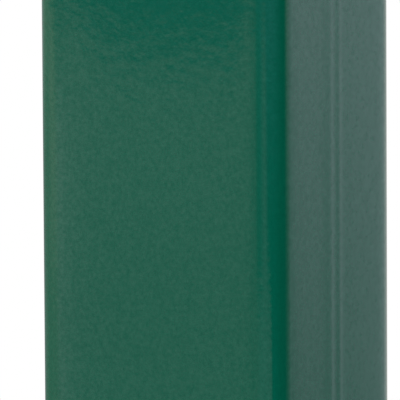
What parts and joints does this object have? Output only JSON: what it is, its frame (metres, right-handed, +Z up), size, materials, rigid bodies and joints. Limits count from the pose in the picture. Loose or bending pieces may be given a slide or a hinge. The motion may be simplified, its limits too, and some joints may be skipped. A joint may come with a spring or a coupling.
{
  "type": "delineator post",
  "caption": "Fold-down square steel traffic post on a bolt-down base plate, with a key lock, reflectors front and rear and a moulded cap.",
  "frame": {"origin": "on the ground, in the middle of the underside of the base plate, which is on the axis of the upright post", "axes": "+Z up along the post; -Y is the front, where the lock is and to which the post folds; +X is the side with the tube's weld seam"},
  "size_m": [0.16, 0.2, 1],
  "materials": {
    "green_coat": "moss green powder coat, glossy, fine orange peel",
    "zinc_plated_steel": "zinc plated",
    "nickel_plated_lock": "nickel plated",
    "black_plastic": "fine grained moulding",
    "white_lens": "prismatic reflector",
    "red_lens": "prismatic reflector",
    "rubber": "matt",
    "aluminium_rivet": "as drawn"
  },
  "bodies": {
    "base": {"base_plate": "green_coat", "hinge_lug_left": "green_coat", "hinge_lug_right": "green_coat", "stop_bar": "green_coat", "lock_keeper": "green_coat", "weld_beads": "green_coat", "hinge_bolt": "zinc_plated_steel", "hinge_nut": "zinc_plated_steel", "bolt_washers": "zinc_plated_steel", "rest_buffer": "rubber", "buffer_screw": "zinc_plated_steel"},
    "post": {"post_tube": "green_coat", "hinge_sleeve": "green_coat", "thrust_washers": "zinc_plated_steel", "lock_barrel": "nickel_plated_lock", "top_cap": "black_plastic", "front_reflector_housing": "black_plastic", "front_reflector_lens": "white_lens", "rear_reflector_housing": "black_plastic", "rear_reflector_lens": "red_lens", "reflector_rivets": "aluminium_rivet"},
    "lock": {"lock_spindle": "nickel_plated_lock", "lock_cam": "zinc_plated_steel", "cam_nut": "zinc_plated_steel", "lock_disc_springs": "zinc_plated_steel"}
  },
  "joints": [
    {"name": "post_fold", "type": "hinge", "parent": "base", "child": "post", "pos_m": [0, -0.015, 0.045], "axis": [1, 0, 0], "range_deg": [0, 90]},
    {"name": "lock_turn", "type": "hinge", "parent": "post", "child": "lock", "pos_m": [0, 0, 0.086], "axis": [0, 1, 0], "range_deg": [0, 90]}
  ]
}
